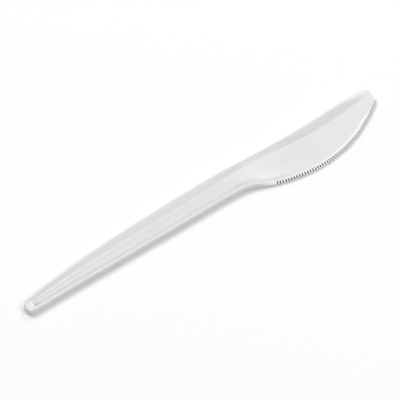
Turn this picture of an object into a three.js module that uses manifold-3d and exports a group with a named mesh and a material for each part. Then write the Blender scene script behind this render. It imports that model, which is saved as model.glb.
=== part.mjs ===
// Disposable table knife, moulded in one piece of white plastic.
// It lies as it rests on a table: +X from the butt to the tip, +Y to the blunt spine, +Z up.
// The origin is below the middle of its box, on the table. All sizes are in millimetres.
import * as THREE from "three";
import { mergeVertices } from "three/addons/utils/BufferGeometryUtils.js";
import Module from "manifold-3d";

// Plan sizes
const HANDLE_LENGTH = 98;
const BLADE_LENGTH = 67.8;
const BUTT_WIDTH = 5.9;
const HANDLE_WIDTH = 11.8;
const BLADE_WIDTH = 19.7;

// Heights above the table
const RIB_TOP = 2.85;
const PANEL_TOP = 2.6;
const PANEL_LOW = 2.36;
const FLUTE_FLOOR = 2.15;
const GROOVE_FLOOR = 2.05;
const CHANNEL_TOP = 1.95;
const SPINE_LIP_TOP = 2.68;
const EDGE_LIP_TOP = 2.45;
const BUTT_LIP_TOP = 2.45;
const BLADE_TOP = 1.4;
const BAND_FLOOR = 1.25;
const BLADE_LIP_TOP = 2.35;
const BLADE_UNDER = 0.5;
const EDGE_LAND = 1.1;
const TIP_TOP = 1.45;
const TIP_LAND = 1.2;

// Widths of the two slopes that lead up to the ribs, and the drops from a lip to the floor inside it
const STEP_WIDTH = 0.8;
const RIB_FLANK = 0.9;
const BUTT_LIP_DROP = 0.1;
const LIP_DROP = 0.05;

// Walls, and the cutting edge
const WALL = 1.2;
const SKIRT_TAPER = 0.085;
const LIP_INSET = 0.48;
const LIP_WIDTH = 1.05;
const LIP_ROUND = 0.25;
const BEVEL_WIDTH = 1.9;
const TIP_BEVEL_WIDTH = 2.5;
const TIP_INSET = 0.7;

// Teeth of the cutting edge
const TOOTH_PITCH = 1.155;
const NOTCH_DEPTH = 0.95;
const NOTCH_MOUTH = 0.76;
const NOTCH_ROOT = 0.34;
const FIRST_NOTCH = 10.25;
const PLAIN_TIP = 1;

// Where the ribs begin at the butt, and how the handle's height runs out into the blade
const NOSE_START = 2.3;
const NOSE_END = 5.2;
const NECK_START = HANDLE_LENGTH - 6;
const NECK_END = HANDLE_LENGTH + 18;
const NECK_SLANT = 0.5;
const NECK_MIDDLE = 6;

const LENGTH = HANDLE_LENGTH + BLADE_LENGTH;
const FINE_TIP = 9;

// Places along the handle and the blade: x as a share of its length, y as a share of its width.
const onButt = (x, across) => [x, across * BUTT_WIDTH];
const onHandle = (along, across) => [along * HANDLE_LENGTH, across * HANDLE_WIDTH];
const onBlade = (along, across) => [HANDLE_LENGTH + along * BLADE_LENGTH, across * BLADE_WIDTH];

// The outline on the table, round the spine side to the tip and back along the cutting edge.
const OUTLINE = [
  onButt(0, -0.27),
  onButt(0.14, -0.01),
  onButt(0.6, 0.165),
  onButt(1.6, 0.28),
  onHandle(0.033, 0.18),
  onHandle(0.1, 0.258),
  onHandle(0.25, 0.386),
  onHandle(0.45, 0.479),
  onHandle(0.65, 0.514),
  onHandle(0.86, 0.53),
  onHandle(0.97, 0.509),
  onBlade(0.1, 0.279),
  onBlade(0.27, 0.249),
  onBlade(0.48, 0.231),
  onBlade(0.7, 0.24),
  onBlade(0.88, 0.254),
  onBlade(0.945, 0.264),
  onBlade(0.978, 0.25),
  onBlade(0.995, 0.19),
  onBlade(1, 0.068),
  onBlade(0.987, -0.083),
  onBlade(0.922, -0.262),
  onBlade(0.825, -0.438),
  onBlade(0.73, -0.583),
  onBlade(0.6, -0.702),
  onBlade(0.44, -0.752),
  onBlade(0.3, -0.7),
  onBlade(0.175, -0.596),
  onBlade(0.085, -0.45),
  onBlade(0.03, -0.359),
  onHandle(0.985, -0.517),
  onHandle(0.92, -0.472),
  onHandle(0.7, -0.44),
  onHandle(0.45, -0.393),
  onHandle(0.2, -0.352),
  onHandle(0.05, -0.343),
  onButt(2.9, -0.67),
  onButt(1.35, -0.635),
  onButt(0.45, -0.54),
  onButt(0.08, -0.42),
];

// A smooth line of values along the length, through a few [x, value] places.
function guide(places) {
  const curve = new THREE.CatmullRomCurve3(
    places.map(([x, value]) => new THREE.Vector3(x, value, 0)),
    false,
    "centripetal",
  );
  const dense = curve.getPoints(40 * places.length);
  return (x) => valueAt(dense, x);
}

// The y of a run of points that goes one way in x.
function valueAt(points, x) {
  const rising = points[points.length - 1].x > points[0].x;
  const run = rising ? points : [...points].reverse();
  if (x <= run[0].x) return run[0].y;
  for (let i = 1; i < run.length; i++) {
    if (x > run[i].x) continue;
    const share = (x - run[i - 1].x) / Math.max(run[i].x - run[i - 1].x, 1e-9);
    return run[i - 1].y + share * (run[i].y - run[i - 1].y);
  }
  return run[run.length - 1].y;
}

const mix = (a, b, share) => a + (b - a) * share;
const ease = THREE.MathUtils.smoothstep;

// A value that eases from each [x, value] place to the next and never overshoots them.
function ramp(places) {
  return (x) => {
    let value = places[0][1];
    for (let i = 1; i < places.length; i++) {
      value = mix(value, places[i][1], ease(x, places[i - 1][0], places[i][0]));
    }
    return value;
  };
}

// Crest lines of the two long ribs, in plan
const upperRib = guide([
  onHandle(0, -0.02),
  onHandle(0.09, 0),
  onHandle(0.25, 0.065),
  onHandle(0.5, 0.108),
  onHandle(0.72, 0.122),
  onHandle(0.9, 0.155),
  onHandle(0.98, 0.2),
  onBlade(0.1, 0.124),
  onBlade(0.25, 0.082),
  onBlade(0.42, 0.02),
  onBlade(0.53, -0.01),
  onBlade(0.7, 0),
  onBlade(0.86, 0.037),
  onBlade(1, 0.095),
]);
const lowerRib = guide([
  onHandle(0, -0.145),
  onHandle(0.2, -0.155),
  onHandle(0.5, -0.195),
  onHandle(0.8, -0.23),
  onHandle(0.96, -0.24),
  onBlade(0.03, -0.165),
  onBlade(0.1, -0.235),
  onBlade(0.2, -0.32),
  onBlade(0.45, -0.37),
  onBlade(0.7, -0.28),
  onBlade(0.9, -0.12),
  onBlade(1, 0.03),
]);

// Lip round the edge of the part: how far in and how high each line of it runs.
const lipLines = {
  spine: {
    wallTop: ramp([
      [0, BUTT_LIP_TOP - LIP_ROUND],
      [10, SPINE_LIP_TOP - LIP_ROUND],
      [NECK_START, SPINE_LIP_TOP - LIP_ROUND],
      [NECK_END, BLADE_LIP_TOP - LIP_ROUND],
      [LENGTH - 12, BLADE_LIP_TOP - LIP_ROUND],
      [LENGTH, TIP_LAND],
    ]),
    crestInset: ramp([
      [LENGTH - 8, LIP_INSET],
      [LENGTH, TIP_INSET],
    ]),
    crestTop: ramp([
      [0, BUTT_LIP_TOP],
      [10, SPINE_LIP_TOP],
      [NECK_START, SPINE_LIP_TOP],
      [NECK_END, BLADE_LIP_TOP],
      [LENGTH - 14, BLADE_LIP_TOP],
      [LENGTH, TIP_TOP],
    ]),
    inner: ramp([
      [0, CHANNEL_TOP],
      [6, SPINE_LIP_TOP - BUTT_LIP_DROP],
      [12, SPINE_LIP_TOP - LIP_DROP],
      [NECK_START, SPINE_LIP_TOP - LIP_DROP],
      [NECK_END, BLADE_LIP_TOP - LIP_DROP],
      [LENGTH - 14, BLADE_LIP_TOP - LIP_DROP],
      [LENGTH, TIP_TOP],
    ]),
  },
  edge: {
    wallTop: ramp([
      [0, BUTT_LIP_TOP - LIP_ROUND],
      [6, EDGE_LIP_TOP - LIP_ROUND],
      [HANDLE_LENGTH - 5, EDGE_LIP_TOP - LIP_ROUND],
      [HANDLE_LENGTH + 11, EDGE_LAND],
      [LENGTH - 6, EDGE_LAND],
      [LENGTH, TIP_LAND],
    ]),
    crestInset: ramp([
      [HANDLE_LENGTH, LIP_INSET],
      [HANDLE_LENGTH + 14, BEVEL_WIDTH],
      [LENGTH - 14, TIP_BEVEL_WIDTH],
      [LENGTH, TIP_INSET],
    ]),
    crestTop: ramp([
      [0, BUTT_LIP_TOP],
      [6, EDGE_LIP_TOP],
      [HANDLE_LENGTH - 3, EDGE_LIP_TOP],
      [HANDLE_LENGTH + 14, BLADE_TOP],
      [LENGTH - 8, BLADE_TOP],
      [LENGTH, TIP_TOP],
    ]),
    inner: ramp([
      [0, CHANNEL_TOP],
      [5, GROOVE_FLOOR],
      [HANDLE_LENGTH - 3, GROOVE_FLOOR],
      [HANDLE_LENGTH + 14, BLADE_TOP],
      [LENGTH - 8, BLADE_TOP],
      [LENGTH, TIP_TOP],
    ]),
  },
};

// The foot of the wall: on the table under the handle, and clear of it under the blade
const footHeight = ramp([
  [HANDLE_LENGTH - 3, 0],
  [HANDLE_LENGTH + 11, BLADE_UNDER],
]);

// Shares of the way from the flute's low side to the spine lip, where the curve of its floor bends
const FLUTE_SHARES = [0.85, 0.7, 0.55, 0.4, 0.25, 0.12, 0];
const FLUTE_CURVE = 1.2;

// The groove below the lower rib has a flat floor between these shares of its width.
const GROOVE_SHARES = [0.62, 0.8];

// Shares of the width inside the lips: the most that one slope takes, and the least gap between lines
const SLOPE_SHARE = 1 / 7;
const LEAST_GAP = 0.01;

// Places of the lines where the width is small, in slope widths from the middle or from a lip
const NOSE_UPPER = 0.5;
const NOSE_LOWER = 0.8;
const LIP_CLEAR = 0.3;
const STEP_CLEAR = 0.15;

// Where the lower rib runs out into the blade, and where the field levels off at the tip
const RIB_FADE = HANDLE_LENGTH - 8;
const RIB_END = HANDLE_LENGTH + 12;
const TIP_FADE = LENGTH - 14;

// Corners of the top between the two lips, as [y, height], from the spine side to the edge side
function fieldCorners(x, spineLip, edgeLip) {
  const handle = 1 - ease(x - NECK_SLANT * (spineLip.y - NECK_MIDDLE), NECK_START, NECK_END);
  const near = 1 - ease(x, RIB_FADE, RIB_END);
  const nose = ease(x, NOSE_START, NOSE_END);
  const tip = ease(x, TIP_FADE, LENGTH);
  const width = spineLip.y - edgeLip.y;
  const room = width * SLOPE_SHARE;
  const middle = mix(spineLip.y, edgeLip.y, 0.5);
  const upperLine = mix(middle + NOSE_UPPER * room, upperRib(x), nose);
  const lowerLine = mix(middle - NOSE_LOWER * room, lowerRib(x), nose);
  const upper = Math.min(upperLine, spineLip.y - LIP_CLEAR * room);
  const lower = Math.max(lowerLine, edgeLip.y + LIP_CLEAR * room);
  const step = Math.min(STEP_WIDTH, room);
  const flank = Math.min(RIB_FLANK, room);
  const panel = mix(mix(BLADE_TOP, PANEL_TOP, handle), TIP_TOP, tip);
  const flute = mix(mix(BAND_FLOOR, FLUTE_FLOOR, handle), TIP_TOP, tip);
  const rib = mix(panel, RIB_TOP, near);
  const groove = mix(panel, GROOVE_FLOOR, near);
  const low = Math.min(upper + step, spineLip.y - STEP_CLEAR * room);
  const corners = [
    ...FLUTE_SHARES.map((share) => [
      mix(low, spineLip.y, share),
      mix(flute, spineLip.z, 1 - (1 - share) ** FLUTE_CURVE),
    ]),
    [low - step, panel],
    [lower + flank, mix(panel, PANEL_LOW, near)],
    [lower, rib],
    ...GROOVE_SHARES.map((share) => [mix(lower, edgeLip.y, share), groove]),
  ];
  const gap = LEAST_GAP * width;
  let last = spineLip.y;
  return corners.map(([y, height]) => {
    last = THREE.MathUtils.clamp(y, edgeLip.y + gap, last - gap);
    return [last, mix(CHANNEL_TOP, height, nose)];
  });
}

// Points of the outline, close together, and its two sides between the butt and the tip
const outline = new THREE.CatmullRomCurve3(
  OUTLINE.map(([x, y]) => new THREE.Vector3(x, y, 0)),
  true,
  "centripetal",
).getPoints(4000);
outline.pop();
const tipIndex = outline.reduce((best, p, i) => (p.x > outline[best].x ? i : best), 0);
const buttIndex = outline.reduce((best, p, i) => (p.x < outline[best].x ? i : best), 0);
const [buttX, tipX] = [outline[buttIndex].x, outline[tipIndex].x];
for (const p of outline) p.x = ((p.x - buttX) / (tipX - buttX)) * LENGTH;
const walk = (from, to, step) => {
  const run = [];
  for (let i = from; i !== to; i = (i + step + outline.length) % outline.length) run.push(outline[i]);
  run.push(outline[to]);
  return run;
};
const sides = {
  spine: walk(buttIndex, tipIndex, 1),
  edge: walk(buttIndex, tipIndex, -1),
};

// A place on one side of the outline, with the direction that points into the part
function sideAt(side, x) {
  const run = sides[side];
  const reach = 0.05;
  const y = valueAt(run, x);
  const first = run[0];
  const last = run[run.length - 1];
  if (x <= first.x) return { point: first, inward: new THREE.Vector2(1, 0) };
  if (x >= last.x) return { point: last, inward: new THREE.Vector2(-1, 0) };
  const before = Math.max(x - reach, first.x);
  const after = Math.min(x + reach, last.x);
  const along = new THREE.Vector2(after - before, valueAt(run, after) - valueAt(run, before)).normalize();
  const turn = side === "spine" ? 1 : -1;
  const inward = new THREE.Vector2(turn * along.y, -turn * along.x);
  return { point: new THREE.Vector3(x, y, 0), inward };
}

const inFrom = ({ point, inward }, inset, z) =>
  new THREE.Vector3(point.x + inward.x * inset, point.y + inward.y * inset, z);

// Places a set distance apart along the cutting edge, from the middle of the first notch
function edgePlaces(spacing) {
  const places = [];
  let travelled = 0;
  let next = 0;
  for (let i = 1; i < sides.edge.length; i++) {
    const p = sides.edge[i];
    if (p.x < HANDLE_LENGTH + FIRST_NOTCH) continue;
    if (travelled >= next && p.x < LENGTH - PLAIN_TIP) {
      places.push(sideAt("edge", p.x));
      next += spacing;
    }
    travelled += p.distanceTo(sides.edge[i - 1]);
  }
  return places;
}

// Stations along the part: close together round the butt, the neck and the tip, and in step with the teeth
const BUTT_ROUND = 2;
const TIP_ROUND = 0.85;
const NOSE_SPACING = 0.55;
const HANDLE_SPACING = 5;
const NECK_SPACING = 1.4;
function stations() {
  const list = [];
  const roundEnd = (size, count) =>
    Array.from({ length: count }, (_, i) => size * (1 - Math.cos((i / count) * (Math.PI / 2))));
  const run = (from, to, step) => {
    const count = Math.max(1, Math.round((to - from) / step));
    for (let i = 0; i < count; i++) list.push(from + ((to - from) * i) / count);
  };
  list.push(...roundEnd(BUTT_ROUND, 11));
  run(BUTT_ROUND, NOSE_END + 1, NOSE_SPACING);
  run(NOSE_END + 1, NECK_START, HANDLE_SPACING);
  run(NECK_START, HANDLE_LENGTH + FIRST_NOTCH - TOOTH_PITCH / 2, NECK_SPACING);
  edgePlaces(TOOTH_PITCH / 2).forEach(({ point }, i) => {
    const isToothMiddle = i % 2 === 1;
    if (isToothMiddle || point.x > LENGTH - FINE_TIP) list.push(point.x);
  });
  list.push(...roundEnd(TIP_ROUND, 4).map((x) => LENGTH - x).reverse());
  return list;
}

// One line of points across the top, from the foot on the spine side to the foot on the edge side
function topLine(x) {
  const rings = (side, lines) => {
    const at = sideAt(side, x);
    const foot = footHeight(x);
    const wallTop = lines.wallTop(x);
    const inset = lines.crestInset(x);
    return [
      inFrom(at, 0, foot),
      inFrom(at, SKIRT_TAPER * (wallTop - foot), wallTop),
      inFrom(at, inset, lines.crestTop(x)),
      inFrom(at, inset + LIP_WIDTH - LIP_INSET, lines.inner(x)),
    ];
  };
  const spineRings = rings("spine", lipLines.spine);
  const edgeRings = rings("edge", lipLines.edge);
  const spineLip = spineRings[3];
  const edgeLip = edgeRings[3];
  const field = fieldCorners(x, spineLip, edgeLip).map(([y, height]) => {
    const share = (y - spineLip.y) / Math.min(edgeLip.y - spineLip.y, -1e-6);
    return new THREE.Vector3(mix(spineLip.x, edgeLip.x, share), y, height);
  });
  return [...spineRings, ...field, ...edgeRings.reverse()];
}

// One line of points across the underside: open under the handle, flat under the blade
const CAVITY_END = HANDLE_LENGTH + 5;
const CAVITY_SLOPE = 3.5;
const CAVITY_DRAFT = 0.15;
function underLine(x, top) {
  const spine = sideAt("spine", x);
  const edge = sideAt("edge", x);
  const open = 1 - ease(x, CAVITY_END - CAVITY_SLOPE, CAVITY_END);
  const foot = footHeight(x);
  const heights = top.map((p) => new THREE.Vector2(p.y, p.z)).sort((p, q) => p.x - q.x);
  const spineRoof = inFrom(spine, WALL + CAVITY_DRAFT, foot);
  const edgeRoof = inFrom(edge, WALL + CAVITY_DRAFT, foot);
  const roof = [0, 0.25, 0.5, 0.75, 1].map((share) => {
    const p = spineRoof.clone().lerp(edgeRoof, share);
    p.z = mix(foot, Math.max(valueAt(heights, p.y) - WALL, foot), open);
    return p;
  });
  return [inFrom(spine, WALL, foot), ...roof, inFrom(edge, WALL, foot)];
}

// The closed skin: top lines and underside lines joined along the part, and at both ends
function skin() {
  const positions = [];
  const faces = [];
  const put = (p) => positions.push(p.x, p.y, p.z) / 3 - 1;
  const xs = stations();
  const strips = (lines, facing) => {
    const rows = lines.map((line) => line.map(put));
    for (let i = 1; i < rows.length; i++) {
      for (let j = 1; j < rows[i].length; j++) {
        const [a, b, c, d] = [rows[i - 1][j - 1], rows[i - 1][j], rows[i][j], rows[i][j - 1]];
        if (facing > 0) faces.push(a, b, c, a, c, d);
        else faces.push(a, c, b, a, d, c);
      }
    }
  };
  const top = xs.map(topLine);
  const under = xs.map((x, i) => underLine(x, top[i]));
  strips(top, 1);
  strips(under, -1);
  strips(xs.map((_, i) => [under[i][0], top[i][0]]), 1);
  strips(xs.map((_, i) => [top[i][top[i].length - 1], under[i][under[i].length - 1]]), 1);
  const geometry = new THREE.BufferGeometry();
  geometry.setAttribute("position", new THREE.Float32BufferAttribute(positions, 3));
  geometry.setIndex(faces);
  return withoutEmptyFaces(mergeVertices(geometry, 1e-3));
}

// Faces that shrank to a line at the two ends of the part are left out.
function withoutEmptyFaces(geometry) {
  const index = [...geometry.index.array];
  const kept = [];
  for (let i = 0; i < index.length; i += 3) {
    const [a, b, c] = index.slice(i, i + 3);
    if (a !== b && b !== c && c !== a) kept.push(a, b, c);
  }
  geometry.setIndex(kept);
  return geometry;
}

// One notch between two teeth: a wedge that opens outwards from a narrow root
function notch(place) {
  const shape = new THREE.Shape();
  const beyond = 0.6;
  const flare = ((NOTCH_MOUTH - NOTCH_ROOT) / 2) * (beyond / NOTCH_DEPTH);
  shape.moveTo(-NOTCH_DEPTH, -NOTCH_ROOT / 2);
  shape.lineTo(beyond, -NOTCH_MOUTH / 2 - flare);
  shape.lineTo(beyond, NOTCH_MOUTH / 2 + flare);
  shape.lineTo(-NOTCH_DEPTH, NOTCH_ROOT / 2);
  shape.closePath();
  const geometry = new THREE.ExtrudeGeometry(shape, { depth: 2 * RIB_TOP, bevelEnabled: false });
  geometry.rotateZ(Math.atan2(-place.inward.y, -place.inward.x));
  geometry.translate(place.point.x, place.point.y, -RIB_TOP);
  return geometry;
}

const wasm = await Module();
wasm.setup();

function solid(geometry) {
  const plain = geometry.clone();
  plain.deleteAttribute("normal");
  plain.deleteAttribute("uv");
  const merged = mergeVertices(plain, 1e-4);
  const mesh = new wasm.Mesh({
    numProp: 3,
    vertProperties: new Float32Array(merged.attributes.position.array),
    triVerts: new Uint32Array(merged.index.array),
  });
  return new wasm.Manifold(mesh);
}

function asGeometry(manifold) {
  const mesh = manifold.getMesh();
  const geometry = new THREE.BufferGeometry();
  geometry.setAttribute("position", new THREE.BufferAttribute(mesh.vertProperties, 3));
  geometry.setIndex(new THREE.BufferAttribute(mesh.triVerts, 1));
  return geometry;
}

function knifeGeometry() {
  let body = solid(skin());
  for (const place of edgePlaces(TOOTH_PITCH)) body = body.subtract(solid(notch(place)));
  const geometry = asGeometry(body);
  geometry.computeBoundingBox();
  const middle = geometry.boundingBox.getCenter(new THREE.Vector3());
  geometry.translate(-middle.x, -middle.y, -geometry.boundingBox.min.z);
  geometry.computeVertexNormals();
  return geometry;
}

const whitePlastic = new THREE.MeshStandardMaterial({ color: 0xeeeeed, roughness: 0.42, metalness: 0 });

const knife = new THREE.Mesh(knifeGeometry(), whitePlastic);
knife.name = "knife";

const part = new THREE.Group();
part.add(knife);

export default part;
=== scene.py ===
import math

import bpy
import numpy as np
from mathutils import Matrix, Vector


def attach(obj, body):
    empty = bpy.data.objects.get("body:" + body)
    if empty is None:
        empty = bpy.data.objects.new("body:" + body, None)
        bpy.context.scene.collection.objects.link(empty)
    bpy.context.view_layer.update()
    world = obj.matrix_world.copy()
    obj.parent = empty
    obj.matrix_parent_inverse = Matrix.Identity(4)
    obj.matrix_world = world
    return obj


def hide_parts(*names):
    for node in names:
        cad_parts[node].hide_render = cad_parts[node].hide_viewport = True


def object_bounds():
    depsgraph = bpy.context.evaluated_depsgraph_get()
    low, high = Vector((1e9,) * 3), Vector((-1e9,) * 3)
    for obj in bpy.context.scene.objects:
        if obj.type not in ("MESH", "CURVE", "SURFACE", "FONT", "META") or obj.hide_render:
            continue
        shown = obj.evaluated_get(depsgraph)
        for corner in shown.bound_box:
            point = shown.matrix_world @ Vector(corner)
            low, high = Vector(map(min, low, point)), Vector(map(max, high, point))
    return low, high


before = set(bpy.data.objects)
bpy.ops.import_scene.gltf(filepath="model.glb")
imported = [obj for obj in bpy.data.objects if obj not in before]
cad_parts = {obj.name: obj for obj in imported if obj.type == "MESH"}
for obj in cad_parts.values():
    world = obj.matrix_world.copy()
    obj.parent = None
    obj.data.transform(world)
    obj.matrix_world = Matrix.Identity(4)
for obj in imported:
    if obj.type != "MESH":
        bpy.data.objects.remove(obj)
cad_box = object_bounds()

# Lengths are in millimetres until a mesh is made, and this turns them into metres.
MM = 0.001

# Plan sizes
HANDLE_LENGTH = 98.0
BLADE_LENGTH = 67.8
LENGTH = HANDLE_LENGTH + BLADE_LENGTH
BUTT_WIDTH = 5.9
HANDLE_WIDTH = 11.8
BLADE_WIDTH = 19.7

# Heights above the table
RIB_TOP = 2.85
PANEL_TOP = 2.6
PANEL_LOW = 2.36
FLUTE_FLOOR = 2.15
GROOVE_FLOOR = 2.18
SPINE_TOP = 2.68
EDGE_LIP_TOP = 2.45
BUTT_LIP_TOP = 2.45
CHANNEL_TOP = 1.95
BLADE_TOP = 1.4
BAND_FLOOR = 1.25
BLADE_SPINE_TOP = 2.35
BLADE_UNDER = 0.5
EDGE_TOP = 0.85
TIP_TOP = 1.45
TIP_LAND = 1.2

# Walls, lips and bevel
WALL = 1.2
SKIRT_TAPER = 0.085
LIP_INSET = 0.48
LIP_WIDTH = 1.05
LIP_ROUND = 0.25
LIP_DIP = 0.05
BUTT_LIP_DIP = 0.1
BEVEL_WIDTH = 1.7
TIP_BEVEL_WIDTH = 2.2
TIP_INSET = 0.7

# The step beside the flute and the slope up to the rib. Both narrow from the butt to the neck.
STEP_WIDTH = 0.8
NECK_STEP_WIDTH = 0.6
RIB_FLANK = 0.9
NECK_RIB_FLANK = 0.7

# The flute's curve, and how much deeper the flute and the panel get towards the neck
FLUTE_CURVE = 1.2
FLUTE_DEEPENS = 0.08
PANEL_DEEPENS = 0.06

# The groove's flat floor, as shares of the way from the rib to the lip
GROOVE_START = 0.62
GROOVE_END = 0.8

# The neck sags between the handle and the blade, and the rib and the groove take a share of it.
NECK_SAG = 0.3
RIB_SAG = 0.7
GROOVE_SAG = 0.3

# The neck's ramp moves along by this share of how far the spine lip lies beyond this y.
NECK_SHIFT = 0.5
NECK_SHIFT_FROM = 6

# The width between the lips has this many parts, and the next four values are shares of one part.
FIELD_PARTS = 7
LIP_CLEAR = 0.3
STEP_CLEAR = 0.15
NOSE_UPPER = 0.5
NOSE_LOWER = 0.8

# The least distance across between two corners of the section
LEAST_GAP = 0.02

# Places along the handle and the neck, from the butt
NOSE_START = 2.3
NOSE_END = 5.2
GROOVE_BEGINS = 5
BUTT_END = 6
SPINE_LEVEL = 10
SPINE_INNER_LEVEL = 12
NARROW_START = 20
NARROW_END = HANDLE_LENGTH - 12
NECK_START = HANDLE_LENGTH - 10
NECK_END = HANDLE_LENGTH + 24
RIB_FADES = HANDLE_LENGTH - 8
RIB_ENDS = HANDLE_LENGTH + 12
WALL_FALLS = HANDLE_LENGTH - 5
FOOT_LEAVES = HANDLE_LENGTH - 3
BLADE_LEVEL = HANDLE_LENGTH + 11
BEVEL_LEVEL = HANDLE_LENGTH + 14
SAG_STARTS = HANDLE_LENGTH - 4
SAG_FULL = HANDLE_LENGTH + 10
SAG_FADES = HANDLE_LENGTH + 14
SAG_ENDS = HANDLE_LENGTH + 36

# Places near the tip
TIP_START = LENGTH - 14
TIP_SPINE_FALLS = LENGTH - 12
TIP_BEVEL_RISES = LENGTH - 8
TIP_EDGE_RISES = LENGTH - 6

# The hollow under the handle: where it ends, the length of the slope there, and the draft of its walls
CAVITY_END = HANDLE_LENGTH + 5
CAVITY_SLOPE = 3.5
CAVITY_DRAFT = 0.15

# Teeth
TOOTH_PITCH = 1.155
NOTCH_DEPTH = 1.0
NOTCH_MOUTH = 0.62
NOTCH_ROOT = 0.5
FIRST_NOTCH = 10.25
PLAIN_TIP = 1.0

# The small round that the mould leaves on the ribs and lips, and how finely it is worked out
CREST_ROUND = 0.15
ROUND_SAMPLE = 0.03

# The recess that shades the foot of the wall. It is no higher than one of this many parts of the wall.
FOOT_RISE = 0.35
FOOT_RECESS = 0.7
FOOT_PARTS = 3

# Points of the mesh round the section, as counts or as shares of each part's height or width
FOOT_POINTS = 6
FOOT_KEPT = 2
WALL_SHARES = (0.33, 0.66, 1)
BEVEL_SHARES = (0.2, 0.4, 0.6, 0.8, 1)
LIP_SHARES = (0.25, 0.5, 0.75, 1)
FLUTE_SHARES = (0.85, 0.7, 0.55, 0.4, 0.25, 0.12, 0)
GROOVE_TO_LIP_POINTS = 3
UNDER_POINTS = 13
WALL_ROWS = FOOT_POINTS + len(WALL_SHARES)
EDGE_ROWS = WALL_ROWS + len(BEVEL_SHARES)

# How far apart the mesh's stations lie along the length, and where they lie from the middle of a notch
BUTT_ROUND = 2
BUTT_STATIONS = 24
NOSE_RUN_END = 8
NOSE_SPACING = 0.25
HANDLE_SPACING = 1.0
NECK_SPACING = 0.4
TIP_STATIONS = 8
NOTCH_PLACES = (0, 0.12, NOTCH_ROOT / 2, NOTCH_MOUTH / 2, 0.38, 0.47)

# Where the painted highlight on the thin bevel and teeth along the cutting edge comes in
PAINTED_HIGHLIGHT_START = HANDLE_LENGTH + 3
PAINTED_HIGHLIGHT_END = HANDLE_LENGTH + 9

# A bend sharper than this many degrees is shaded as a crease.
CREASE_ANGLE = 50


def on_butt(x, across):
    return (x, across * BUTT_WIDTH)


def on_handle(along, across):
    return (along * HANDLE_LENGTH, across * HANDLE_WIDTH)


def on_blade(along, across):
    return (HANDLE_LENGTH + along * BLADE_LENGTH, across * BLADE_WIDTH)


# The outline on the table, round the spine side to the tip and back along the cutting edge
OUTLINE = [
    on_butt(0, -0.27), on_butt(0.14, -0.01), on_butt(0.6, 0.165), on_butt(1.6, 0.28),
    on_handle(0.033, 0.18), on_handle(0.1, 0.258), on_handle(0.25, 0.386), on_handle(0.45, 0.479),
    on_handle(0.65, 0.514), on_handle(0.86, 0.53), on_handle(0.97, 0.509),
    on_blade(0.1, 0.279), on_blade(0.27, 0.249), on_blade(0.48, 0.231), on_blade(0.7, 0.24),
    on_blade(0.88, 0.254), on_blade(0.945, 0.264), on_blade(0.978, 0.25), on_blade(0.995, 0.19),
    on_blade(1, 0.068), on_blade(0.987, -0.083), on_blade(0.922, -0.262), on_blade(0.825, -0.438),
    on_blade(0.73, -0.583), on_blade(0.6, -0.702), on_blade(0.44, -0.752), on_blade(0.3, -0.7),
    on_blade(0.175, -0.596), on_blade(0.085, -0.45), on_blade(0.03, -0.359),
    on_handle(0.985, -0.517), on_handle(0.92, -0.472), on_handle(0.7, -0.44),
    on_handle(0.45, -0.393), on_handle(0.2, -0.352), on_handle(0.05, -0.343),
    on_butt(2.9, -0.67), on_butt(1.35, -0.635), on_butt(0.45, -0.54), on_butt(0.08, -0.42),
]

# The top of the step beside the flute, which runs on as the edge of the blade's band
UPPER_RIB = [
    on_handle(0, -0.02), on_handle(0.09, 0), on_handle(0.25, 0.065), on_handle(0.5, 0.108),
    on_handle(0.72, 0.122), on_handle(0.9, 0.155), on_handle(0.98, 0.2),
    on_blade(0.1, 0.124), on_blade(0.25, 0.082), on_blade(0.42, 0.02), on_blade(0.53, -0.01),
    on_blade(0.7, 0), on_blade(0.86, 0.037), on_blade(1, 0.095),
]

# The crest of the rib beside the groove
LOWER_RIB = [
    on_handle(0, -0.145), on_handle(0.2, -0.155), on_handle(0.5, -0.195), on_handle(0.8, -0.23),
    on_handle(0.96, -0.24), on_blade(0.03, -0.165), on_blade(0.1, -0.235), on_blade(0.2, -0.32),
    on_blade(0.45, -0.37), on_blade(0.7, -0.28), on_blade(0.9, -0.12), on_blade(1, 0.03),
]

# Points to a span when these lines are made smooth
OUTLINE_POINTS = 160
RIB_POINTS = 40


def smooth_line(places, closed, per_span):
    """Points on a smooth curve through the places, the same number to each span."""
    p = np.array(places, float)
    n = len(p)
    out = []
    for i in range(n if closed else n - 1):
        p1, p2 = p[i], p[(i + 1) % n]
        p0 = p[i - 1] if closed or i > 0 else 2 * p[0] - p[1]
        p3 = p[(i + 2) % n] if closed or i + 2 < n else 2 * p[-1] - p[-2]
        a, b, c = (math.sqrt(max(np.linalg.norm(v), 1e-6)) for v in (p1 - p0, p2 - p1, p3 - p2))
        leave = ((p1 - p0) / a - (p2 - p0) / (a + b) + (p2 - p1) / b) * b
        arrive = ((p2 - p1) / b - (p3 - p1) / (b + c) + (p3 - p2) / c) * b
        t = np.linspace(0, 1, per_span, endpoint=False)[:, None]
        cubic = (2 * p1 - 2 * p2 + leave + arrive) * t**3
        square = (-3 * p1 + 3 * p2 - 2 * leave - arrive) * t**2
        out.append(p1 + leave * t + square + cubic)
    if not closed:
        out.append(p[-1:])
    return np.concatenate(out)


def mix(a, b, share):
    return a + (b - a) * share


def ease(x, start, end):
    """0 before the start, 1 after the end, and a smooth rise between them."""
    t = np.clip((x - start) / (end - start), 0, 1)
    return t * t * (3 - 2 * t)


def ramp(x, places):
    """A value that eases from each (x, value) place to the next."""
    value = places[0][1]
    for (x0, _), (x1, v1) in zip(places, places[1:]):
        value = mix(value, v1, ease(x, x0, x1))
    return value


def distances_along(line):
    """The distance along a line of points to each of them."""
    gap = np.linalg.norm(np.diff(line, axis=0), axis=1)
    return np.concatenate([[0], np.cumsum(gap)])


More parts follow.
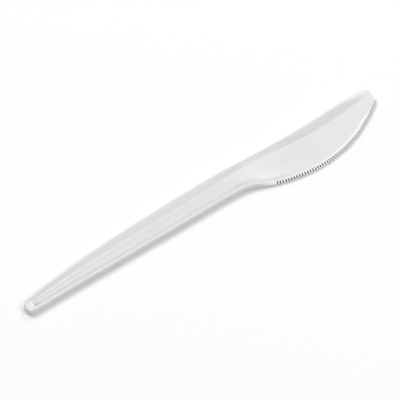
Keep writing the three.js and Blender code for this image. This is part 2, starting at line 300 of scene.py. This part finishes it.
class Side:
    """One side of the outline, from the butt to the tip, with the direction into the part."""

    def __init__(self, run, turn):
        self.at = run
        step = np.gradient(run, axis=0)
        step /= np.linalg.norm(step, axis=1)[:, None]
        self.inward = np.stack([turn * step[:, 1], -turn * step[:, 0]], axis=1)
        self.arc = distances_along(run)
        self.x = np.maximum.accumulate(run[:, 0]) + 1e-9 * np.arange(len(run))

    def place(self, x):
        point = np.array([np.interp(x, self.x, self.at[:, k]) for k in (0, 1)])
        inward = np.array([np.interp(x, self.x, self.inward[:, k]) for k in (0, 1)])
        return point, inward / np.linalg.norm(inward)

    def arc_at(self, x):
        return np.interp(x, self.x, self.arc)


# The smooth outline, stretched to the full length and cut into its two sides at the butt and the tip
outline = smooth_line(OUTLINE, True, OUTLINE_POINTS)
butt_x, tip_x = outline[:, 0].min(), outline[:, 0].max()
outline[:, 0] = (outline[:, 0] - butt_x) / (tip_x - butt_x) * LENGTH
outline = np.roll(outline, -int(np.argmin(outline[:, 0])), axis=0)
tip_index = int(np.argmax(outline[:, 0]))
spine_side = Side(outline[: tip_index + 1], 1)
edge_side = Side(np.concatenate([outline[tip_index:], outline[:1]])[::-1], -1)
upper_rib = smooth_line(UPPER_RIB, False, RIB_POINTS)
lower_rib = smooth_line(LOWER_RIB, False, RIB_POINTS)
first_notch = edge_side.arc_at(HANDLE_LENGTH + FIRST_NOTCH)
last_notch = edge_side.arc_at(LENGTH - PLAIN_TIP)

# Profiles along the length, as (place, value): top of the wall, inset of the lip, its crest and inner foot
SPINE_WALL = [
    (0, BUTT_LIP_TOP - LIP_ROUND), (SPINE_LEVEL, SPINE_TOP - LIP_ROUND),
    (NECK_START, SPINE_TOP - LIP_ROUND), (NECK_END, BLADE_SPINE_TOP - LIP_ROUND),
    (TIP_SPINE_FALLS, BLADE_SPINE_TOP - LIP_ROUND), (LENGTH, TIP_LAND),
]
SPINE_INSET = [(TIP_BEVEL_RISES, LIP_INSET), (LENGTH, TIP_INSET)]
SPINE_CREST = [
    (0, BUTT_LIP_TOP), (SPINE_LEVEL, SPINE_TOP), (NECK_START, SPINE_TOP),
    (NECK_END, BLADE_SPINE_TOP), (TIP_START, BLADE_SPINE_TOP), (LENGTH, TIP_TOP),
]
SPINE_INNER = [
    (0, CHANNEL_TOP), (BUTT_END, SPINE_TOP - BUTT_LIP_DIP), (SPINE_INNER_LEVEL, SPINE_TOP - LIP_DIP),
    (NECK_START, SPINE_TOP - LIP_DIP), (NECK_END, BLADE_SPINE_TOP - LIP_DIP),
    (TIP_START, BLADE_SPINE_TOP - LIP_DIP), (LENGTH, TIP_TOP),
]
EDGE_WALL = [
    (0, BUTT_LIP_TOP - LIP_ROUND), (BUTT_END, EDGE_LIP_TOP - LIP_ROUND),
    (WALL_FALLS, EDGE_LIP_TOP - LIP_ROUND), (BLADE_LEVEL, EDGE_TOP),
    (TIP_EDGE_RISES, EDGE_TOP), (LENGTH, TIP_LAND),
]
EDGE_INSET = [
    (HANDLE_LENGTH, LIP_INSET), (BEVEL_LEVEL, BEVEL_WIDTH),
    (TIP_START, TIP_BEVEL_WIDTH), (LENGTH, TIP_INSET),
]
EDGE_CREST = [
    (0, BUTT_LIP_TOP), (BUTT_END, EDGE_LIP_TOP), (FOOT_LEAVES, EDGE_LIP_TOP),
    (BEVEL_LEVEL, BLADE_TOP), (TIP_BEVEL_RISES, BLADE_TOP), (LENGTH, TIP_TOP),
]
EDGE_INNER = [
    (0, CHANNEL_TOP), (GROOVE_BEGINS, GROOVE_FLOOR), (FOOT_LEAVES, GROOVE_FLOOR),
    (BEVEL_LEVEL, BLADE_TOP), (TIP_BEVEL_RISES, BLADE_TOP), (LENGTH, TIP_TOP),
]
FOOT = [(FOOT_LEAVES, 0), (BLADE_LEVEL, BLADE_UNDER)]


def field_line(x, spine_lip, edge_lip):
    """Corners of the top between the two lips: their y, their height and how many points lead up to each."""
    handle = 1 - ease(x - NECK_SHIFT * (spine_lip[1] - NECK_SHIFT_FROM), NECK_START, NECK_END)
    ribbed = 1 - ease(x, RIB_FADES, RIB_ENDS)
    nose = ease(x, NOSE_START, NOSE_END)
    narrow = ease(x, NARROW_START, NARROW_END)
    tip = ease(x, TIP_START, LENGTH)
    sag = NECK_SAG * ease(x, SAG_STARTS, SAG_FULL) * (1 - ease(x, SAG_FADES, SAG_ENDS))

    a, b = spine_lip[1], edge_lip[1]
    room = (a - b) / FIELD_PARTS
    middle = mix(a, b, 0.5)
    upper = np.interp(x, upper_rib[:, 0], upper_rib[:, 1])
    lower = np.interp(x, lower_rib[:, 0], lower_rib[:, 1])
    upper = min(mix(middle + NOSE_UPPER * room, upper, nose), a - LIP_CLEAR * room)
    lower = max(mix(middle - NOSE_LOWER * room, lower, nose), b + LIP_CLEAR * room)
    step = min(mix(STEP_WIDTH, NECK_STEP_WIDTH, narrow), room)
    flank = min(mix(RIB_FLANK, NECK_RIB_FLANK, narrow), room)
    flute_end = min(upper + step, a - STEP_CLEAR * room)

    panel = mix(mix(BLADE_TOP, PANEL_TOP, handle), TIP_TOP, tip)
    flute = mix(mix(BAND_FLOOR, FLUTE_FLOOR - FLUTE_DEEPENS * narrow, handle), TIP_TOP, tip)
    rib = mix(panel, RIB_TOP, ribbed) - RIB_SAG * sag
    groove = mix(panel, GROOVE_FLOOR, ribbed) - GROOVE_SAG * sag
    dish = mix(panel, PANEL_LOW - PANEL_DEEPENS * narrow, ribbed) - sag
    ys, zs, counts = [], [], []

    def corner(y, z, points):
        ys.append(min(y, ys[-1] - LEAST_GAP) if ys else y)
        zs.append(mix(CHANNEL_TOP, z, nose))
        counts.append(points)

    for share in FLUTE_SHARES:
        height = mix(flute, spine_lip[2], 1 - (1 - share) ** FLUTE_CURVE)
        corner(mix(flute_end, a, share), height, points=2)
    corner(flute_end - step, panel, points=6)
    corner(lower + flank, dish, points=9)
    corner(lower, rib, points=5)
    corner(mix(lower, b, GROOVE_START), groove, points=5)
    corner(mix(lower, b, GROOVE_END), groove, points=2)
    return ys, zs, counts


def notch_depth(x):
    """How far the edge is cut back at this place along it."""
    arc = edge_side.arc_at(x)
    turns = (arc - first_notch) / TOOTH_PITCH
    if turns < -0.5 or round(turns) * TOOTH_PITCH + first_notch > last_notch:
        return 0.0
    off = abs(turns - round(turns)) * TOOTH_PITCH
    share = (NOTCH_MOUTH / 2 - off) / ((NOTCH_MOUTH - NOTCH_ROOT) / 2)
    return NOTCH_DEPTH * min(max(share, 0), 1)


def stations():
    """Places along the length: close together at the ends and the neck, and twelve to a tooth."""
    def round_end(size, count):
        return [size * (1 - math.cos(i / count * math.pi / 2)) for i in range(count)]

    def run(a, b, step):
        return list(np.linspace(a, b, max(1, round((b - a) / step)), endpoint=False))

    tooth = sorted({round(s * v, 4) for v in NOTCH_PLACES for s in (-1, 1)} | {TOOTH_PITCH / 2})
    arcs = [first_notch - TOOTH_PITCH / 2]
    centre = first_notch
    while centre <= last_notch:
        arcs += [centre + v for v in tooth]
        centre += TOOTH_PITCH
    teeth = list(np.interp(arcs, edge_side.arc, edge_side.x))
    tip = LENGTH - teeth[-1]
    xs = round_end(BUTT_ROUND, BUTT_STATIONS) + run(BUTT_ROUND, NOSE_RUN_END, NOSE_SPACING)
    xs += run(NOSE_RUN_END, NECK_START, HANDLE_SPACING) + run(NECK_START, teeth[0], NECK_SPACING) + teeth
    xs += [LENGTH - v for v in reversed(round_end(tip, TIP_STATIONS)) if v < tip]
    return xs


def lip(side, x, walls, insets, crests, inners, cut):
    """The outer face and the lip of one side, from the foot up and over to the field."""
    point, inward = side.place(x)
    wall, inset, crest, inner = (ramp(x, v) for v in (walls, insets, crests, inners))
    bottom = ramp(x, FOOT)
    if cut > 0:
        wall = mix(wall, crest, min(cut / inset, 1))
    lean = SKIRT_TAPER * (wall - bottom)
    foot = min(FOOT_RISE, (wall - bottom) / FOOT_PARTS)
    recess = FOOT_RECESS * foot / FOOT_RISE
    end_inset = inset + LIP_WIDTH - LIP_INSET
    turn = np.linspace(0, math.pi / 2, FOOT_POINTS)
    rows = [(cut + recess * math.cos(t), bottom + foot * math.sin(t)) for t in turn]
    rows += [(cut + mix(0.0, lean, s), mix(bottom + foot, wall, s)) for s in WALL_SHARES]
    rows += [(mix(cut + lean, inset, s), mix(wall, crest, s)) for s in BEVEL_SHARES]
    rows += [(mix(inset, end_inset, s), mix(crest, inner, s)) for s in LIP_SHARES]
    return [(point[0] + inward[0] * a, point[1] + inward[1] * a, z) for a, z in rows]


def cross_line(x):
    """One line of points over the top at x, from the foot on the spine side to the foot on the edge side."""
    spine = lip(spine_side, x, SPINE_WALL, SPINE_INSET, SPINE_CREST, SPINE_INNER, 0)
    edge = lip(edge_side, x, EDGE_WALL, EDGE_INSET, EDGE_CREST, EDGE_INNER, notch_depth(x))
    a, b = spine[-1], edge[-1]
    ys, zs, counts = field_line(x, a, b)
    ys, zs, counts = [a[1], *ys, b[1]], [a[2], *zs, b[2]], [*counts, GROOVE_TO_LIP_POINTS]
    field = []
    for i, count in enumerate(counts):
        for share in np.linspace(0, 1, count + 1)[1:]:
            y = mix(ys[i], ys[i + 1], share)
            px = mix(a[0], b[0], (y - a[1]) / min(b[1] - a[1], -1e-6))
            field.append((px, y, mix(zs[i], zs[i + 1], share)))
    return np.array(spine + field[:-1] + edge[::-1])


def soften(line, spread):
    """The same line with its corners rounded, as a mould leaves them."""
    arc = distances_along(line)
    even = np.arange(0, arc[-1] + ROUND_SAMPLE, ROUND_SAMPLE)
    dense = np.stack([np.interp(even, arc, line[:, k]) for k in range(3)], axis=1)
    reach = int(3 * spread / ROUND_SAMPLE)
    weight = np.exp(-0.5 * (np.arange(-reach, reach + 1) * ROUND_SAMPLE / spread) ** 2)
    weight /= weight.sum()
    before = 2 * dense[0] - dense[reach:0:-1]
    after = 2 * dense[-1] - dense[-2 : -reach - 2 : -1]
    padded = np.concatenate([before, dense, after])
    smooth = np.stack([np.convolve(padded[:, k], weight, mode="valid") for k in range(3)], axis=1)
    return np.stack([np.interp(arc, even, smooth[:, k]) for k in range(3)], axis=1)


def top_line(x):
    """The line over the top with its corners rounded, all but the lowest points of each foot."""
    line = cross_line(x)
    rounded = soften(line[FOOT_KEPT:-FOOT_KEPT], CREST_ROUND)
    return np.concatenate([line[:FOOT_KEPT], rounded, line[-FOOT_KEPT:]])


def under_line(x, top):
    """One line of points across the underside, open under the handle and flat under the blade."""
    (spine, spine_in), (edge, edge_in) = spine_side.place(x), edge_side.place(x)
    hollow = 1 - ease(x, CAVITY_END - CAVITY_SLOPE, CAVITY_END)
    bottom = ramp(x, FOOT)

    def inside(inset, share, z):
        a, b = spine + spine_in * inset, edge + edge_in * inset
        return (*mix(a, b, share), z)

    order = np.argsort(top[:, 1])
    rows = [inside(WALL, 0, bottom)]
    for share in np.linspace(0, 1, UNDER_POINTS):
        px, py, _ = inside(WALL + CAVITY_DRAFT, share, 0)
        height = np.interp(py, top[order, 1], top[order, 2])
        rows.append((px, py, mix(bottom, max(height - WALL, bottom), hollow)))
    rows.append(inside(WALL, 1, bottom))
    return np.array(rows)


def painted_light_values(xs, top_count, loop_count):
    """A value at each point: 1 paints a highlight on the bevel and teeth, -1 paints shade on the notch
    walls, 0 elsewhere.
    """
    painted_light = np.zeros((len(xs), loop_count))
    for row, x in zip(painted_light, xs):
        row[top_count - EDGE_ROWS : top_count] = ease(x, PAINTED_HIGHLIGHT_START, PAINTED_HIGHLIGHT_END)
        if notch_depth(x) > 0:
            row[top_count - WALL_ROWS : top_count] = -1
    return painted_light


def skin_faces(loops, count):
    """Faces between each loop of points and the next, and one over each end."""
    faces = []
    for i in range(loops - 1):
        for j in range(count):
            k = (j + 1) % count
            a, b = i * count, (i + 1) * count
            faces.append((a + j, a + k, b + k, b + j))
    last = (loops - 1) * count
    faces.append(list(reversed(range(count))))
    faces.append([last + j for j in range(count)])
    return faces


def knife_mesh():
    """The whole moulding: a loop of points round the section at each station, joined into one skin."""
    xs = stations()
    tops = [top_line(x) for x in xs]
    loops = [np.concatenate([top, under_line(x, top)[::-1]]) for x, top in zip(xs, tops)]
    count = len(loops[0])
    points = np.concatenate(loops)
    points[:, 0] -= LENGTH / 2
    points[:, 1] += cad_box[1][1] / MM - outline[:, 1].max()
    mesh = bpy.data.meshes.new("knife_moulding")
    mesh.from_pydata([Vector(p) * MM for p in points], [], skin_faces(len(loops), count))
    # Painted light: this value paints a highlight on the bevel and teeth and shade on the walls of the
    # notches.
    painted_light = mesh.attributes.new("painted_highlight_and_notch_shade", "FLOAT", "POINT")
    painted_light.data.foreach_set("value", painted_light_values(xs, len(tops[0]), count).ravel())
    mesh.validate()
    mesh.update()
    return mesh


def srgb(code):
    """An sRGB hex colour as linear RGBA."""
    parts = [int(code[i : i + 2], 16) / 255 for i in (1, 3, 5)]
    linear = [v / 12.92 if v <= 0.04045 else ((v + 0.055) / 1.055) ** 2.4 for v in parts]
    return (*linear, 1)


def new_material(name):
    material = bpy.data.materials.new(name)
    material.use_nodes = True
    material.node_tree.nodes.clear()
    return material


def add_node(tree, kind, settings=None, values=None, links=None):
    """Adds a node with its settings, its input values, and links from other nodes' outputs."""
    made = tree.nodes.new(kind)
    for key, value in (settings or {}).items():
        setattr(made, key, value)
    for key, value in (values or {}).items():
        made.inputs[key].default_value = value
    for key, output in (links or {}).items():
        tree.links.new(output, made.inputs[key])
    return made


# The colour sockets of a Mix node, which has several sockets under each name
MIX_A = 6
MIX_B = 7
MIX_RESULT = 2

# Sizes of the plastic's patterns in millimetres, and how far light spreads inside it
FLOW_SIZE = 14
GRAIN_SIZE = 0.6
GRAIN_RELIEF = 0.02
LIGHT_SPREAD = 1.0


def moulded_white_polystyrene():
    """Injection-moulded white polystyrene: an even, slightly cool white with a satin skin.

    The thin bevel and teeth get a painted highlight, a lighter colour, and the walls of the notches get
    painted shade, a dark colour, so that the teeth read as a fine row of light and shade. The skin's real
    grain is finer than GRAIN_SIZE, which is about the finest that shows in the picture.
    """
    material = new_material("moulded_white_polystyrene")
    tree = material.node_tree
    place = add_node(tree, "ShaderNodeTexCoord")
    flow = add_node(
        tree, "ShaderNodeTexNoise", None,
        {"Scale": 1 / (FLOW_SIZE * MM), "Detail": 2.0, "Roughness": 0.5},
        {"Vector": place.outputs["Object"]},
    )
    tint = add_node(
        tree, "ShaderNodeMix", {"data_type": "RGBA"},
        {MIX_A: srgb("#DCDCDE"), MIX_B: srgb("#DFDFE1")},
        {"Factor": flow.outputs["Fac"]},
    )
    painted_light = add_node(tree, "ShaderNodeAttribute", {"attribute_name": "painted_highlight_and_notch_shade"})
    # Painted highlight: the bevel and the teeth are painted a lighter white (#F8F8F9).
    painted_highlight = add_node(
        tree, "ShaderNodeMix", {"data_type": "RGBA"},
        {MIX_B: srgb("#F8F8F9")},
        {"Factor": painted_light.outputs["Fac"], MIX_A: tint.outputs[MIX_RESULT]},
    )
    # Painted shade: the walls of the notches are painted dark grey (#5A5B5C).
    painted_notch_shade = add_node(
        tree, "ShaderNodeMath", {"operation": "MULTIPLY"}, {1: -1.0}, {0: painted_light.outputs["Fac"]},
    )
    colour = add_node(
        tree, "ShaderNodeMix", {"data_type": "RGBA"},
        {MIX_B: srgb("#5A5B5C")},
        {"Factor": painted_notch_shade.outputs["Value"], MIX_A: painted_highlight.outputs[MIX_RESULT]},
    )
    grain = add_node(
        tree, "ShaderNodeTexNoise", None,
        {"Scale": 1 / (GRAIN_SIZE * MM), "Detail": 3.0, "Roughness": 0.55},
        {"Vector": place.outputs["Object"]},
    )
    satin = add_node(
        tree, "ShaderNodeMapRange", None,
        {"From Min": 0.3, "From Max": 0.7, "To Min": 0.26, "To Max": 0.34},
        {"Value": grain.outputs["Fac"]},
    )
    relief = add_node(
        tree, "ShaderNodeBump", None,
        {"Strength": 0.06, "Distance": GRAIN_RELIEF * MM},
        {"Height": grain.outputs["Fac"]},
    )
    plastic = add_node(
        tree, "ShaderNodeBsdfPrincipled", None,
        {
            "IOR": 1.59,
            "Metallic": 0.0,
            "Subsurface Weight": 0.15,
            "Subsurface Scale": LIGHT_SPREAD * MM,
            "Subsurface Radius": (1.0, 1.0, 1.0),
        },
        {
            "Base Color": colour.outputs[MIX_RESULT],
            "Roughness": satin.outputs["Result"],
            "Normal": relief.outputs["Normal"],
        },
    )
    add_node(tree, "ShaderNodeOutputMaterial", None, None, {"Surface": plastic.outputs["BSDF"]})
    return material


def white_paper_sweep():
    """Smooth white paper: flat and bright, with no gloss of its own."""
    material = new_material("white_paper_sweep")
    tree = material.node_tree
    paper = add_node(
        tree, "ShaderNodeBsdfDiffuse", None, {"Color": srgb("#FEFEFE"), "Roughness": 0.0},
    )
    add_node(tree, "ShaderNodeOutputMaterial", None, None, {"Surface": paper.outputs["BSDF"]})
    return material


# The knife
knife = bpy.data.objects.new("knife_moulding", knife_mesh())
bpy.context.scene.collection.objects.link(knife)
knife.data.materials.append(moulded_white_polystyrene())
for polygon in knife.data.polygons:
    polygon.use_smooth = True
knife.data.set_sharp_from_angle(angle=math.radians(CREASE_ANGLE))
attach(knife, "root")
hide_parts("knife")

# The white sweep it lies on, in metres
SWEEP_HALF = 4.0
sweep_corners = [(SWEEP_HALF * i, SWEEP_HALF * j, 0) for i, j in ((-1, -1), (1, -1), (1, 1), (-1, 1))]
sweep = bpy.data.meshes.new("white_sweep")
sweep.from_pydata(sweep_corners, [], [(0, 1, 2, 3)])
floor = bpy.data.objects.new("white_sweep", sweep)
bpy.context.scene.collection.objects.link(floor)
sweep.materials.append(white_paper_sweep())

# How strongly the dome lights the knife, where 1 is white
DOME = 0.41


def studio_dome():
    """An even dome of soft white light, plain white where the camera or the gloss sees it."""
    world = bpy.data.worlds.new("studio_dome")
    bpy.context.scene.world = world
    world.use_nodes = True
    tree = world.node_tree
    tree.nodes.clear()
    rays = add_node(tree, "ShaderNodeLightPath")
    mirrored = add_node(
        tree, "ShaderNodeMath", {"operation": "MAXIMUM"}, None,
        {0: rays.outputs["Is Glossy Ray"], 1: rays.outputs["Is Transmission Ray"]},
    )
    white = add_node(
        tree, "ShaderNodeMath", {"operation": "MAXIMUM"}, None,
        {0: rays.outputs["Is Camera Ray"], 1: mirrored.outputs["Value"]},
    )
    strength = add_node(
        tree, "ShaderNodeMapRange", None,
        {"From Min": 0.0, "From Max": 1.0, "To Min": DOME, "To Max": 1.0},
        {"Value": white.outputs["Value"]},
    )
    dome = add_node(
        tree, "ShaderNodeBackground", None,
        {"Color": (1, 1, 1, 1)},
        {"Strength": strength.outputs["Result"]},
    )
    add_node(tree, "ShaderNodeOutputWorld", None, None, {"Surface": dome.outputs["Background"]})


def soft_box(name, azimuth, elevation, distance, size, share):
    """A square soft box aimed at the knife. share is how much it adds to level white paper."""
    a, e = math.radians(azimuth), math.radians(elevation)
    away = Vector((math.cos(a) * math.cos(e), math.sin(a) * math.cos(e), math.sin(e)))
    light = bpy.data.lights.new(name, "AREA")
    light.shape = "SQUARE"
    light.size = size
    light.energy = share * math.pi * math.pi * distance**2 / math.sin(e)
    lamp = bpy.data.objects.new(name, light)
    lamp.location = away * distance
    lamp.rotation_euler = away.to_track_quat("Z", "Y").to_euler()
    bpy.context.scene.collection.objects.link(lamp)


# Angles are in degrees from +X and up from the table. Distances and sizes are in metres.
studio_dome()
soft_box("key_soft_box", azimuth=85, elevation=50, distance=4.0, size=2.0, share=0.31)
soft_box("right_soft_box", azimuth=32, elevation=36, distance=4.0, size=1.4, share=0.125)
soft_box("front_soft_box", azimuth=-50, elevation=45, distance=4.0, size=1.8, share=0.19)

# The camera stands at the photograph's angle. The azimuth is from -Y, and the distance is in metres.
AZIMUTH = -38.27
ELEVATION = 50.20
DISTANCE = 0.92
TARGET = Vector((-1.757, 5.689, 0)) * MM
FOCAL_PIXELS = 2482.3
PHOTO_WIDTH = 400
SENSOR_WIDTH = 36
NEAREST = 0.01
FARTHEST = 50


def photo_camera():
    a, e = math.radians(AZIMUTH), math.radians(ELEVATION)
    back = Vector((math.sin(a) * math.cos(e), -math.cos(a) * math.cos(e), math.sin(e)))
    lens = bpy.data.cameras.new("photo_camera")
    lens.sensor_width = SENSOR_WIDTH
    lens.lens = FOCAL_PIXELS * SENSOR_WIDTH / PHOTO_WIDTH
    lens.clip_start = NEAREST
    lens.clip_end = FARTHEST
    camera = bpy.data.objects.new("photo_camera", lens)
    camera.location = TARGET + back * DISTANCE
    camera.rotation_euler = back.to_track_quat("Z", "Y").to_euler()
    bpy.context.scene.collection.objects.link(camera)
    return camera


bpy.context.scene.camera = photo_camera()
bpy.context.scene.view_settings.view_transform = "Standard"
